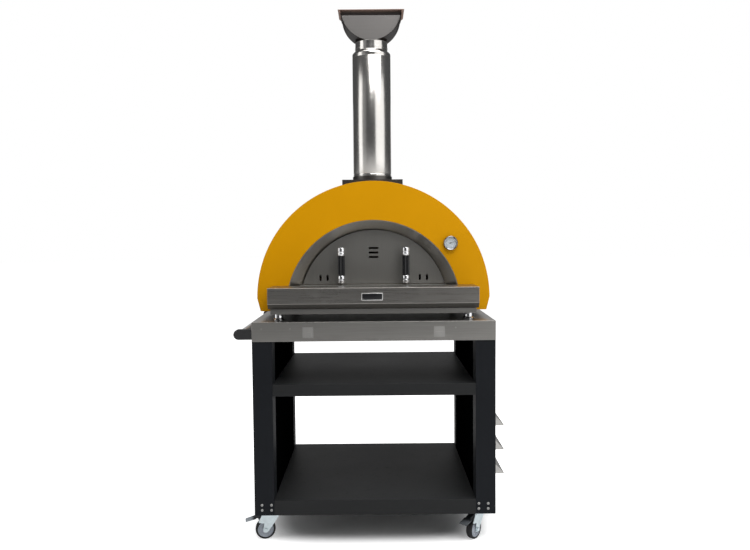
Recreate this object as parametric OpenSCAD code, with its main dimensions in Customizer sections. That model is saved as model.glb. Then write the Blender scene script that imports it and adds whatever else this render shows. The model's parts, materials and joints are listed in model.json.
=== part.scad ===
// Wood fired pizza oven on a wheeled cart, in millimetres.
// Origin on the floor under the middle of the worktop; the oven's mouth faces -Y, +X is the right side.

/* [Cart] */
// Width of the worktop and of the cart
cart_w = 1000; // [950:10:1060]
// Depth of the cart, front to back
cart_d = 817; // [800:1:840]
// Height of the worktop above the floor
worktop_z = 936; // [926:1:946]
// Height of the worktop's apron
apron_h = 80; // [70:1:84]
// Height of the undersides of the legs above the floor
cart_bottom = 130; // [128:1:134]
// Width of a leg's face
leg_w = 82; // [76:1:84]
// Height of the upper shelf's surface
upper_shelf_z = 678; // [640:1:700]
// Height of the lower shelf's surface
lower_shelf_z = 193; // [188:1:200]

/* [Casters] */
// Diameter of a wheel
wheel_dia = 85; // [80:1:88]
// Width of a tyre
tyre_w = 26; // [24:1:28]
// Distance from the swivel axis back to the axle
caster_trail = 32; // [28:1:34]
// Distance of the swivel axes from the middle, sideways
caster_x = 438; // [432:1:442]
// Distance of the swivel axes from the middle, front and back
caster_y = 314; // [300:1:316]

/* [Oven body] */
// Radius of the outer vault
vault_r = 500; // [490:1:505]
// Height of the vault's centre
vault_z = 1021; // [1015:1:1025]
// Half width of the vault's foot
vault_foot = 486; // [480:1:490]
// Plane of the oven's front plate
front_y = -250; // [-254:1:-246]
// Plane of the oven's back panel
back_y = 370; // [360:1:380]
// Radius of the mouth's arch in the front plate
mouth_r = 376; // [370:1:380]
// Radius of the chamber's vault
chamber_r = 365; // [360:1:368]
// Height of the hearth's surface
hearth_z = 1076; // [1074:1:1078]

/* [Door] */
// Radius of the door's arch
door_r = 321; // [318:1:322]
// Thickness of the insulated door
door_t = 25; // [20:1:28]
// Distance of each handle from the door's middle
handle_x = 139; // [130:1:146]

/* [Flue] */
// Radius of the double-wall pipe
pipe_r = 84; // [80:1:86]
// Height of the pipe's top
pipe_top = 2085; // [2060:1:2090]
// Radius of the cap's trough
cap_r = 131; // [126:1:134]

/* [Hidden] */
CORNERS = ["front_left", "front_right", "rear_left", "rear_right"];
BODY_NODES = ["counter", "top_frame", "front_left_leg", "front_right_leg", "rear_left_leg",
    "rear_right_leg", "left_side_panel", "right_side_panel", "upper_shelf", "lower_shelf",
    "leg_bolts", "apron_plates", "push_handle_bar", "push_handle_brackets", "side_racks",
    "oven_feet", "base_pan", "base_insulation", "hearth_stones", "refractory_vault",
    "insulation_blanket", "outer_shell", "front_plate", "back_panel", "mouth_throat",
    "landing_shelf", "nameplate", "flue_collar", "flue_pipe", "flue_cap", "cap_plates",
    "door_panel", "handle_mounts", "door_grips", "thermometer_case", "thermometer_dial",
    "thermometer_needle", "thermometer_lens"];
CASTER_NODES = ["caster_plate", "caster_fork", "caster_axle", "caster_wheel", "caster_tyre"];
$fn = 180;

half_w = cart_w / 2;
counter_back = 410;
counter_front = counter_back - cart_d;
leg_front = counter_front + 3;
leg_back = counter_back - 4;
apron_z = worktop_z - apron_h;
sheet = 2;
inner_x = half_w - leg_w;
shelf_fascia = 49;
side_reach = 575;
push_bar = [-552, apron_z + 30];
push_bar_r = 12;

caster_yaw = [12, 50, -15, 200];
caster_pos = [[-caster_x, -caster_y], [caster_x, -caster_y], [-caster_x, caster_y], [caster_x, caster_y]];
wheel_r = wheel_dia / 2;
hub_r = wheel_r - 9;
axle_r = 5;
running_gap = 0.05;
king_pin_r = 6;
fork_gap = tyre_w + 5;
fork_t = 3;
crown_z = cart_bottom - 12;
crown_t = 4;
pedal_pivot = [-39, 108];
pedal_pin_r = 2.5;

oven_bottom = 966;
skirt_front = -385;
skirt_half = 425;
ledge_front = leg_front - 4;
ledge_half = 433;
ledge_z = hearth_z - 1;
mouth_z = 978;
door_z = 992;
door_y = -189;
door_x = 2;
throat_back = -178;
throat_floor = 1.5;
vault_centre_z = 990;
vault_wall = 50;
board_top = hearth_z - 50;
flue_y = -108;
duct_r = 62;
collar_top = 1530;
shoulder_h = 12;
cap_z = pipe_top + 45 + cap_r;
cap_lid_h = 20;
cap_wall = 2;
cap_half_d = 72;
neck_r = 70.5;
grip_y = door_y - 46;
gauge = [332, 1253];
gauge_y = front_y;

// Extrudes a shape drawn in X and Z from plane y0 back to plane y1.
module slab(y0, y1) {
    translate([0, y1, 0]) rotate([90, 0, 0]) linear_extrude(y1 - y0) children();
}

// Extrudes a shape drawn in Y and Z from plane x0 to plane x1.
module rail(x0, x1) {
    translate([x0, 0, 0]) rotate([90, 0, 90]) linear_extrude(x1 - x0) children();
}

// Box between two corners.
module box(low, high) {
    translate(low) cube(high - low);
}

// Round bar along Y.
module bar_y(x, z, r, y0, y1) {
    translate([x, y0, z]) rotate([-90, 0, 0]) cylinder(r = r, h = y1 - y0);
}

// Outline of the oven's body: a disc cut off at the foot and tapered there, drawn smaller by inset.
module vault_outline(inset = 0) {
    r = vault_r - inset;
    foot = vault_foot - inset;
    low = oven_bottom - vault_z + inset;
    wide = r + 2;
    taper_from = 9;
    translate([0, vault_z]) intersection() {
        circle(r);
        polygon([[-wide, taper_from], [-wide, wide], [wide, wide], [wide, taper_from],
            [foot, low], [-foot, low]]);
    }
}

// Upper part of a disc, cut off flat at height z0.
module arch(r, zc, z0) {
    intersection() {
        translate([0, zc]) circle(r);
        translate([-r, z0]) square([2 * r, zc + r - z0]);
    }
}

module counter() {
    color("silver") difference() {
        box([-half_w, counter_front, apron_z], [half_w, counter_back, worktop_z]);
        box([-half_w + sheet, counter_front + sheet, apron_z - 1],
            [half_w - sheet, counter_back - sheet, worktop_z - sheet]);
    }
}

// Angle frame inside the apron: its upright web carries the worktop and its flange rests on the legs.
module top_frame() {
    inset = 6;
    angle_t = 3;
    flange = 60;
    top = worktop_z - sheet;
    x = half_w - inset;
    y0 = leg_front + inset;
    y1 = leg_back - inset;
    color([0.12, 0.12, 0.13]) difference() {
        box([-x, y0, apron_z], [x, y1, top]);
        box([-x + angle_t, y0 + angle_t, apron_z + angle_t], [x - angle_t, y1 - angle_t, top + 1]);
        box([-x + flange, y0 + flange, apron_z - 1], [x - flange, y1 - flange, top]);
    }
}

// Folded box between two corners of its plan, as tall as the cart's sides, with a drain hole in its foot.
module box_post(low, high) {
    drain_r = 10;
    middle = (low + high) / 2;
    difference() {
        box([low[0], low[1], cart_bottom], [high[0], high[1], apron_z]);
        box([low[0] + sheet, low[1] + sheet, cart_bottom + sheet],
            [high[0] - sheet, high[1] - sheet, apron_z - sheet]);
        translate([middle[0], middle[1], cart_bottom - 1]) cylinder(r = drain_r, h = sheet + 2);
    }
}

// Post in the corner that sx and sy name.
module leg(sx, sy) {
    x0 = sx < 0 ? -half_w : inner_x;
    y0 = sy < 0 ? leg_front : leg_back - leg_w;
    color([0.13, 0.14, 0.15]) box_post([x0, y0], [x0 + leg_w, y0 + leg_w]);
}

// Panel that closes a side of the cart between its two legs.
module side_panel(sx) {
    x0 = sx < 0 ? -half_w : inner_x;
    y0 = leg_front + leg_w;
    y1 = leg_back - leg_w;
    color([0.13, 0.14, 0.15]) box_post([x0, y0], [x0 + leg_w, y1]);
}

// Folded pan with its open side down.
module shelf_pan(top, fascia) {
    difference() {
        box([-inner_x, leg_front, top - fascia], [inner_x, leg_back, top]);
        box([-inner_x + sheet, leg_front + sheet, top - fascia - 1],
            [inner_x - sheet, leg_back - sheet, top - sheet]);
    }
}

module upper_shelf() {
    color([0.1, 0.1, 0.11]) shelf_pan(upper_shelf_z, shelf_fascia);
}

// The lower shelf also carries the casters, on a plate welded in at each corner.
module lower_shelf() {
    pad = 60;
    pad_t = 4;
    color([0.1, 0.1, 0.11]) {
        shelf_pan(lower_shelf_z, lower_shelf_z - cart_bottom);
        for (p = caster_pos) {
            x0 = p[0] < 0 ? -inner_x : inner_x - pad;
            box([x0, p[1] - pad, cart_bottom], [x0 + pad, p[1] + pad, cart_bottom + pad_t]);
        }
    }
}

module leg_bolts() {
    head_r = 5.7;
    crown_r = 3.6;
    head_h = 3;
    color("silver") for (sx = [-1, 1]) for (dx = [31, 70]) for (z = [152.5, 174]) {
        translate([sx * (half_w - dx), leg_front, z]) rotate([90, 0, 0])
            cylinder(r1 = head_r, r2 = crown_r, h = head_h);
        translate([sx * (half_w - dx), leg_back, z]) rotate([-90, 0, 0])
            cylinder(r1 = head_r, r2 = crown_r, h = head_h);
    }
}

// Square plates with a turned-out lower lip, and the screws that hold them and the apron.
module apron_plates() {
    plate = 44;
    plate_t = 1.6;
    plate_x = 269;
    plate_z = apron_z + 15;
    lip = 7;
    lip_t = 1.2;
    color("silver") {
        for (sx = [-1, 1]) translate([sx * plate_x - plate / 2, counter_front - plate_t, plate_z]) {
            cube([plate, plate_t, plate]);
            translate([lip, -lip_t, 4]) cube([plate - 2 * lip, lip_t + 0.1, plate * 0.42]);
            for (dx = [6, plate - 6]) translate([dx, 0, plate - 8]) rotate([90, 0, 0])
                cylinder(r = 2.6, h = lip_t);
        }
        for (x = [-460, -342, 336]) translate([x, counter_front, worktop_z - 27])
            rotate([90, 0, 0]) cylinder(r = 3.6, h = 1.5);
    }
}

module push_handle_bar() {
    color("silver") bar_y(push_bar[0], push_bar[1], push_bar_r, leg_front + 3, counter_back - 3);
}

// Black end brackets of the push handle, rounded at their outer ends.
module push_handle_brackets() {
    r = 21;
    t = 22;
    end_wall = 3;
    color([0.08, 0.08, 0.08]) for (y0 = [leg_front, counter_back - t]) difference() {
        union() {
            bar_y(-side_reach + r, push_bar[1], r, y0, y0 + t);
            box([-side_reach + r, y0, push_bar[1] - r], [-half_w, y0 + t, push_bar[1] + r]);
        }
        bar_y(push_bar[0], push_bar[1], push_bar_r, y0 == leg_front ? y0 + end_wall : y0 - 1,
            y0 == leg_front ? y0 + t + 1 : y0 + t - end_wall);
    }
}

// Three folded racks: a sloping front and a cheek at each end, open underneath and towards the panel.
module side_racks() {
    rack_y = [-190, 110];
    rack_h = 78;
    toe = 4.4;
    head = 3.3;
    hole_r = 5;
    color("lightgray") for (z = [443, 335, 228]) difference() {
        slab(rack_y[0], rack_y[1]) polygon([[half_w, z], [side_reach, z], [half_w, z + rack_h]]);
        slab(rack_y[0] + sheet, rack_y[1] - sheet)
            polygon([[half_w - 1, z - 1], [side_reach - toe, z - 1], [half_w - 1, z + rack_h - head]]);
        bar_y(half_w + hole_r + 2, z + hole_r + 2, hole_r, rack_y[0] - 1, rack_y[1] + 1);
    }
}

module oven_feet() {
    color("silver") for (sx = [-1, 1]) for (y = [-300, 300]) translate([sx * 402, y, worktop_z]) {
        cylinder(r = 24, h = 4);
        translate([0, 0, 4]) cylinder(r = 20, h = oven_bottom - worktop_z - 4);
    }
}

// Bottom tray of the oven, and the skirt in front of it under the landing shelf.
module base_pan() {
    skirt_h = 22;
    color("gray") {
        box([-480, front_y + 4, oven_bottom], [480, back_y - 4, oven_bottom + 5]);
        difference() {
            box([-skirt_half, skirt_front, oven_bottom], [skirt_half, front_y - 0.5, oven_bottom + skirt_h]);
            box([-skirt_half + sheet, skirt_front + sheet, oven_bottom + 3],
                [skirt_half - sheet, front_y - 2, oven_bottom + skirt_h + 1]);
        }
    }
}

module base_insulation() {
    color([0.85, 0.83, 0.78]) box([-470, -240, oven_bottom + 5], [470, 362, board_top]);
}

// Refractory tiles, three across and two deep.
module hearth_stones() {
    joint = 1.5;
    x0 = -352;
    y0 = -173;
    tile = [-2 * x0 / 3, 228];
    color([0.78, 0.7, 0.6]) for (i = [0:2]) for (j = [0:1])
        box([x0 + i * tile[0] + joint / 2, y0 + j * tile[1] + joint / 2, board_top],
            [x0 + (i + 1) * tile[0] - joint / 2, y0 + (j + 1) * tile[1] - joint / 2, hearth_z]);
}

module refractory_vault() {
    front = throat_back + 4;
    color([0.8, 0.74, 0.66]) difference() {
        slab(front, 330) arch(chamber_r + vault_wall, vault_centre_z, board_top);
        slab(front - 1, 285) arch(chamber_r, vault_centre_z, board_top - 1);
        translate([0, flue_y, hearth_z]) cylinder(r = duct_r, h = 400);
    }
}

module insulation_blanket() {
    gap = 0.5;
    color([0.92, 0.9, 0.86]) difference() {
        slab(throat_back + 4, back_y - 4) difference() {
            vault_outline(5);
            translate([-vault_r, 0]) square([2 * vault_r, board_top + gap]);
        }
        slab(throat_back, 330 + gap) arch(chamber_r + vault_wall + gap, vault_centre_z, board_top - 10);
        translate([0, flue_y, hearth_z]) cylinder(r = duct_r + 3, h = 500);
    }
}

module outer_shell() {
    color([0.93, 0.62, 0.04]) difference() {
        slab(front_y + 3, back_y - 3) vault_outline(1);
        slab(front_y + 2, back_y - 2) vault_outline(3.5);
        box([-481, front_y, vault_z - vault_r], [481, back_y, oven_bottom + 8]);
        translate([0, flue_y, vault_z]) cylinder(r = duct_r + 3, h = 600);
    }
}

module front_plate() {
    lip = 3;
    color([0.93, 0.62, 0.04]) difference() {
        slab(front_y, front_y + lip) vault_outline(0);
        slab(front_y - 1, front_y + lip + 1) arch(mouth_r, mouth_z, ledge_z - throat_floor);
        bar_y(gauge[0], gauge[1], 6.2, front_y - 1, front_y + lip + 1);
    }
}

module back_panel() {
    color([0.93, 0.62, 0.04]) slab(back_y - 3, back_y) vault_outline(0);
}

// Tapered arch of thin sheet between the mouth and the door, with a floor and a flange at its inner end.
module mouth_throat() {
    depth = throat_back - front_y;
    thin = 0.1;
    inner = [door_r - 2.5, door_z];
    color([0.72, 0.72, 0.73]) {
        difference() {
            hull() {
                slab(front_y, front_y + thin) translate([0, mouth_z]) circle(mouth_r - 0.5, $fn = 96);
                slab(throat_back - thin, throat_back) translate([0, inner[1]]) circle(inner[0] + 2, $fn = 96);
            }
            hull() {
                slab(front_y - thin, front_y) translate([0, mouth_z]) circle(mouth_r - 2.5, $fn = 96);
                slab(throat_back, throat_back + thin) translate([0, inner[1]]) circle(inner[0], $fn = 96);
            }
            box([-400, front_y - 1, 500], [400, front_y + depth + 1, ledge_z - throat_floor]);
        }
        box([-315, front_y, ledge_z - throat_floor], [315, throat_back, ledge_z]);
        slab(throat_back, throat_back + 2) difference() {
            arch(chamber_r + 8, vault_centre_z, ledge_z - throat_floor);
            arch(inner[0], inner[1], ledge_z - throat_floor - 1);
        }
    }
}

module landing_shelf() {
    back = front_y - 0.3;
    wall = 2.5;
    slope_z = oven_bottom + 44;
    low_z = oven_bottom + 22.5;
    color("silver") difference() {
        rail(-ledge_half, ledge_half) polygon([[ledge_front, ledge_z], [back, ledge_z], [back, low_z],
            [ledge_front + 18, low_z], [ledge_front, slope_z]]);
        rail(-ledge_half + wall, ledge_half - wall) polygon([[ledge_front + wall, ledge_z - wall],
            [back + 5, ledge_z - wall], [back + 5, low_z + wall], [ledge_front + 19, low_z + wall],
            [ledge_front + wall, slope_z + 1]]);
    }
}

module nameplate() {
    color([0.1, 0.1, 0.1]) box([-49, ledge_front - 2, 1023], [39, ledge_front, 1054]);
}

module flue_collar() {
    half = 131;
    color("silver") {
        difference() {
            box([-half, flue_y - 95, collar_top - 40], [half, flue_y + 95, collar_top]);
            bar_y(0, vault_z, vault_r - 0.7, flue_y - 96, flue_y + 96);
            translate([0, flue_y, vault_z]) cylinder(r = duct_r + 3, h = 600);
        }
        translate([0, flue_y, collar_top]) difference() {
            cylinder(r = pipe_r + 3, h = 18);
            translate([0, 0, -1]) cylinder(r = pipe_r + 0.2, h = 20);
        }
    }
}

// Double-wall pipe: an outer tube on the collar and an inner duct that reaches down to the chamber.
module flue_pipe() {
    wall = 1.5;
    color("silver") translate([0, flue_y, 0]) difference() {
        union() {
            translate([0, 0, collar_top]) cylinder(r = pipe_r, h = pipe_top - collar_top);
            translate([0, 0, pipe_top]) cylinder(r1 = pipe_r, r2 = neck_r + 1.5, h = shoulder_h);
            translate([0, 0, 1362]) cylinder(r = duct_r - 0.2, h = collar_top - 1362 + 1);
        }
        translate([0, 0, 1361]) cylinder(r = duct_r - 0.2 - wall, h = 900);
        difference() {
            translate([0, 0, collar_top + wall])
                cylinder(r = pipe_r - wall, h = pipe_top - collar_top - 2 * wall);
            translate([0, 0, collar_top]) cylinder(r = duct_r - 0.2, h = 900);
        }
    }
}

// Half disc under a shallow lid that flares out to its flat top, drawn smaller by inset.
module cap_outline(inset = 0) {
    r = cap_r - inset;
    lid = cap_r + 12.5 - 2 * inset;
    flare = r + 4;
    flare_z = -cap_lid_h / 3;
    translate([0, cap_z]) {
        intersection() {
            circle(r);
            translate([-r, -r]) square([2 * r, r - inset]);
        }
        polygon([[-lid, -inset], [lid, -inset], [flare, flare_z], [r, -cap_lid_h], [-r, -cap_lid_h],
            [-flare, flare_z]]);
    }
}

// Trough with a flat roof, open at its front and back, standing on its neck.
module flue_cap() {
    base = pipe_top + shoulder_h;
    bead = 1.4;
    color("silver") difference() {
        union() {
            slab(flue_y - cap_half_d, flue_y + cap_half_d) cap_outline();
            translate([0, flue_y, base]) cylinder(r = neck_r, h = cap_z - cap_r - base + 22);
            translate([0, flue_y, base + 8]) cylinder(r = neck_r + bead, h = 5);
        }
        slab(flue_y - cap_half_d - 1, flue_y + cap_half_d + 1) cap_outline(cap_wall);
        translate([0, flue_y, base - 1]) cylinder(r = neck_r - cap_wall, h = 90);
    }
}

// Two plates that stand in the trough's ends and leave a gap for smoke under the roof.
module cap_plates() {
    gap = 0.2;
    plate_r = cap_r - cap_wall - gap;
    half_t = 1;
    top = cap_z - cap_lid_h - cap_wall;
    color("gray") for (s = [-1, 1]) translate([0, flue_y + s * (cap_half_d - 13), 0])
        slab(-half_t, half_t) intersection() {
            translate([0, cap_z - gap]) circle(plate_r);
            translate([-plate_r, cap_z - plate_r - 1]) square([2 * plate_r, top - cap_z + plate_r + 1]);
        }
}

// Skin with an insulated pan behind it; three slots and two pairs of narrow vents go right through.
module door_panel() {
    foot = hearth_z + 1;
    back = door_y + door_t;
    color([0.36, 0.36, 0.35]) translate([door_x, 0, 0]) difference() {
        union() {
            slab(door_y, door_y + 2.5) arch(door_r, door_z, foot);
            slab(door_y + 2, back) arch(door_r - 18, door_z, foot + 6);
        }
        for (z = [1194, 1213.5, 1233]) slab(door_y - 1, back + 1) union() {
            translate([-17, z - 4.5]) square([34, 9]);
            for (s = [-17, 17]) translate([s, z]) circle(4.5);
        }
        for (x = [-233, -202, 202, 233]) slab(door_y - 1, back + 1) union() {
            translate([x - 4.7, 1096]) square([9.4, 16]);
            for (z = [1096, 1112]) translate([x, z]) circle(4.7);
        }
    }
}

// Ferrules above and below each grip, each with a short post back to the door.
module handle_mounts() {
    r = 15.6;
    color("silver") for (s = [-1, 1]) {
        x = door_x + s * handle_x;
        for (z = [[1084, 1116], [1201.5, 1236]]) {
            translate([x, grip_y, z[0]]) cylinder(r = r, h = z[1] - z[0]);
            bar_y(x, (z[0] + z[1]) / 2, 9, grip_y, door_y);
        }
    }
}

module door_grips() {
    color([0.04, 0.04, 0.04]) for (s = [-1, 1])
        translate([door_x + s * handle_x, grip_y, 1116]) cylinder(r = 15.4, h = 85.5);
}

// Round case with a rolled bezel, and the stem that reaches into the throat's insulation.
module thermometer_case() {
    r = 30.5;
    color("silver") translate([gauge[0], gauge_y, gauge[1]]) rotate([90, 0, 0]) difference() {
        union() {
            rotate_extrude() polygon([[0, 0], [r - 2, 0], [r, 3], [r, 15], [r - 2.5, 18], [r - 5.5, 16],
                [r - 5.5, 15], [0, 15]]);
            translate([0, 0, -60]) cylinder(r = 4, h = 62);
            translate([0, 0, -5]) cylinder(r = 6, h = 6);
        }
        translate([0, 0, 6]) cylinder(r = r - 5.5, h = 20);
    }
}

module thermometer_dial() {
    color("white") difference() {
        bar_y(gauge[0], gauge[1], 24.8, gauge_y - 8, gauge_y - 6);
        bar_y(gauge[0], gauge[1], 1.55, gauge_y - 9, gauge_y - 5);
    }
}

// Needle and its spindle, drawn pointing right and a little up.
module thermometer_needle() {
    color([0.8, 0.1, 0.05]) translate([gauge[0], 0, gauge[1]]) {
        translate([0, gauge_y - 9.6, 0]) rotate([0, -18, 0]) translate([-6, 0, -0.9]) cube([26, 0.8, 1.8]);
        translate([0, gauge_y - 10.4, 0]) rotate([-90, 0, 0]) cylinder(r = 3, h = 1.8);
        translate([0, gauge_y - 9, 0]) rotate([-90, 0, 0]) cylinder(r = 1.5, h = 2.8);
    }
}

module thermometer_lens() {
    color([0.9, 0.95, 1, 0.3]) bar_y(gauge[0], gauge[1], 24.9, gauge_y - 14.5, gauge_y - 12.5);
}

// Puts a caster's piece under corner c, turned as it stands at rest.
module caster_at(c, swivels = true) {
    translate([caster_pos[c][0], caster_pos[c][1], 0]) rotate([0, 0, swivels ? caster_yaw[c] : 0]) children();
}

// Top plate with its four bolt heads, the upper race and the king pin.
module caster_plate() {
    pin_end = crown_z - crown_t - 6;
    color([0.7, 0.74, 0.75]) difference() {
        union() {
            translate([-38, -38, cart_bottom - 3]) cube([76, 76, 3]);
            translate([0, 0, crown_z + 0.4]) cylinder(r1 = 23, r2 = 26, h = cart_bottom - 3 - crown_z);
            translate([0, 0, pin_end]) cylinder(r = king_pin_r, h = cart_bottom - pin_end);
            translate([0, 0, pin_end - 1]) cylinder(r = 9.5, h = 5);
        }
        for (x = [-29, 29]) for (y = [-29, 29]) translate([x, y, cart_bottom - 4]) cylinder(r = 4.2, h = 6);
    }
}

// Pressed fork: a round crown under the race and two cheeks that sweep back to the axle.
module caster_fork() {
    cheek = fork_gap / 2;
    color([0.7, 0.76, 0.78]) difference() {
        union() {
            translate([0, 0, crown_z - crown_t]) cylinder(r = 26, h = crown_t);
            box([-44, -cheek - fork_t, crown_z - crown_t], [0, cheek + fork_t, crown_z]);
            for (y0 = [-cheek - fork_t, cheek]) slab(y0, y0 + fork_t) {
                polygon([[-62, wheel_r + 36], [-46, crown_z - 8], [-44, crown_z], [20, crown_z],
                    [24, crown_z - 20], [-caster_trail + 12, wheel_r - 6], [-caster_trail - 12, wheel_r - 6],
                    [-caster_trail - 6, wheel_r + 28], [-60, wheel_r + 32]]);
                translate([-caster_trail, wheel_r]) circle(12);
            }
        }
        translate([0, 0, crown_z - crown_t - 1]) cylinder(r = king_pin_r + running_gap, h = crown_t + 2);
        bar_y(-caster_trail, wheel_r, axle_r + running_gap, -40, 40);
        bar_y(pedal_pivot[0], pedal_pivot[1], pedal_pin_r + running_gap, -40, 40);
    }
}

// Axle bolt with its head and nut outside the cheeks.
module caster_axle() {
    out = fork_gap / 2 + fork_t;
    head_h = 6;
    color("silver") {
        bar_y(-caster_trail, wheel_r, axle_r, -out - 1, out + 1);
        for (y0 = [-out - head_h, out]) translate([-caster_trail, y0, wheel_r]) rotate([-90, 0, 0])
            cylinder(r = 9, h = head_h, $fn = 6);
    }
}

module caster_wheel() {
    face = tyre_w / 2 - 1;
    boss = face + 1.5;
    web = face - 2;
    bore = axle_r + running_gap;
    color([0.55, 0.56, 0.58]) translate([-caster_trail, 0, wheel_r]) rotate([90, 0, 0]) rotate_extrude()
        polygon([[bore, -boss], [13, -boss], [15, -web], [hub_r - 6, -web], [hub_r - 3, -face],
            [hub_r, -face], [hub_r, face], [hub_r - 3, face], [hub_r - 6, web], [15, web],
            [13, boss], [bore, boss]]);
}

module caster_tyre() {
    w = tyre_w / 2;
    color([0.06, 0.06, 0.06]) translate([-caster_trail, 0, wheel_r]) rotate([90, 0, 0]) rotate_extrude()
        polygon([[hub_r, -w], [wheel_r - 4, -w], [wheel_r - 1, -w + 3], [wheel_r, -w + 8], [wheel_r, w - 8],
            [wheel_r - 1, w - 3], [wheel_r - 4, w], [hub_r, w]]);
}

// Brake lever on its pin, with the shoe that presses on the tyre when the pedal is pushed down.
module brake_pedal() {
    half = 12;
    pad = 19;
    tip = [-116, 83];
    pin = pedal_pivot;
    color([0.1, 0.11, 0.12]) {
        slab(-half, half) polygon([[pin[0] + 4, pin[1] - 5], [pin[0] + 4, pin[1] + 3],
            [pin[0] - 12, pin[1] + 2], [tip[0] + 6, tip[1] + 2.8], [tip[0] + 6, tip[1] + 1], [-66, 94],
            [-54, 86]]);
        slab(-pad, pad) polygon([[-72, 97], [tip[0] + 1, tip[1] + 3], tip, [-72, 93]]);
        bar_y(pin[0], pin[1], pedal_pin_r, -fork_gap / 2 - fork_t, fork_gap / 2 + fork_t);
    }
}

module caster_piece(piece) {
    if (piece == "caster_plate") caster_plate();
    if (piece == "caster_fork") caster_fork();
    if (piece == "caster_axle") caster_axle();
    if (piece == "caster_wheel") caster_wheel();
    if (piece == "caster_tyre") caster_tyre();
    if (piece == "brake_pedal") brake_pedal();
}

counter();
top_frame();
leg(-1, -1);  // front_left_leg
leg(1, -1);  // front_right_leg
leg(-1, 1);  // rear_left_leg
leg(1, 1);  // rear_right_leg
side_panel(-1);  // left_side_panel
side_panel(1);  // right_side_panel
upper_shelf();
lower_shelf();
leg_bolts();
apron_plates();
push_handle_bar();
push_handle_brackets();
side_racks();
oven_feet();
base_pan();
base_insulation();
hearth_stones();
refractory_vault();
insulation_blanket();
outer_shell();
front_plate();
back_panel();
mouth_throat();
landing_shelf();
nameplate();
flue_collar();
flue_pipe();
flue_cap();
cap_plates();
door_panel();
handle_mounts();
door_grips();
thermometer_case();
thermometer_dial();
thermometer_needle();
thermometer_lens();
for (c = [0:3]) for (p = CASTER_NODES)
    caster_at(c, p != "caster_plate") caster_piece(p);
for (c = [0, 1])
    caster_at(c) caster_piece("brake_pedal");
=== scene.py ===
import json
import math

import bmesh
import bpy
from mathutils import Matrix, Vector

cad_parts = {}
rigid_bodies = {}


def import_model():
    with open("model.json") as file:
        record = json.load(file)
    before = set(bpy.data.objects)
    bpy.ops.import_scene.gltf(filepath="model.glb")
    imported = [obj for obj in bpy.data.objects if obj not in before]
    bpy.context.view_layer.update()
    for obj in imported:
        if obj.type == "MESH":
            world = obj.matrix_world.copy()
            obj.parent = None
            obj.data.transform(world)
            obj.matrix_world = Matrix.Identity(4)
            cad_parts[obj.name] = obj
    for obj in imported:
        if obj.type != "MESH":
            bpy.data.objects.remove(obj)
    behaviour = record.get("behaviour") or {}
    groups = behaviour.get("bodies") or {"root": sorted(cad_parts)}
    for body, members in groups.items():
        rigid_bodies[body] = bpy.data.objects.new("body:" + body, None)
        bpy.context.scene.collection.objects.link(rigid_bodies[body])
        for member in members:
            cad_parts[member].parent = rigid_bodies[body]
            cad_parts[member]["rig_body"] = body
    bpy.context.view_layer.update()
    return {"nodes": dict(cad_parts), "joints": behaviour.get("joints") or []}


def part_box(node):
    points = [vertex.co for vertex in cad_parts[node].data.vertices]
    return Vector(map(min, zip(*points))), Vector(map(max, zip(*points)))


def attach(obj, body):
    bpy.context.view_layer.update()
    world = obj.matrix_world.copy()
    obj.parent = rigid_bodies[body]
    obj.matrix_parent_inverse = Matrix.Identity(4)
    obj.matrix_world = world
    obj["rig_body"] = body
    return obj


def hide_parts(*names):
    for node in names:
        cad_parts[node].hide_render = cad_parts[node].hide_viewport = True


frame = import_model()
millimetre = 0.001


# ---------------------------------------------------------------- Cart frame
# The cart is bent from steel sheet: four box posts, a box panel on each side and two shelf pans, bolted
# together and powder coated in a satin charcoal with a fine orange peel. Inside, the side panels carry a
# flat deep black painted shade.

class Value:
    """A shader socket that takes part in Python sums; each sum adds its Math node."""

    def __init__(self, finish, socket):
        self.finish = finish
        self.socket = socket

    def __add__(self, other):
        return self.finish.maths("ADD", self, other)

    def __radd__(self, other):
        return self.finish.maths("ADD", other, self)

    def __sub__(self, other):
        return self.finish.maths("SUBTRACT", self, other)

    def __rsub__(self, other):
        return self.finish.maths("SUBTRACT", other, self)

    def __mul__(self, other):
        return self.finish.maths("MULTIPLY", self, other)

    def __rmul__(self, other):
        return self.finish.maths("MULTIPLY", other, self)

    def __truediv__(self, other):
        return self.finish.maths("DIVIDE", self, other)

    def __rtruediv__(self, other):
        return self.finish.maths("DIVIDE", other, self)

    def __pow__(self, other):
        return self.finish.maths("POWER", self, other)

    def __rpow__(self, other):
        return self.finish.maths("POWER", other, self)


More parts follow.
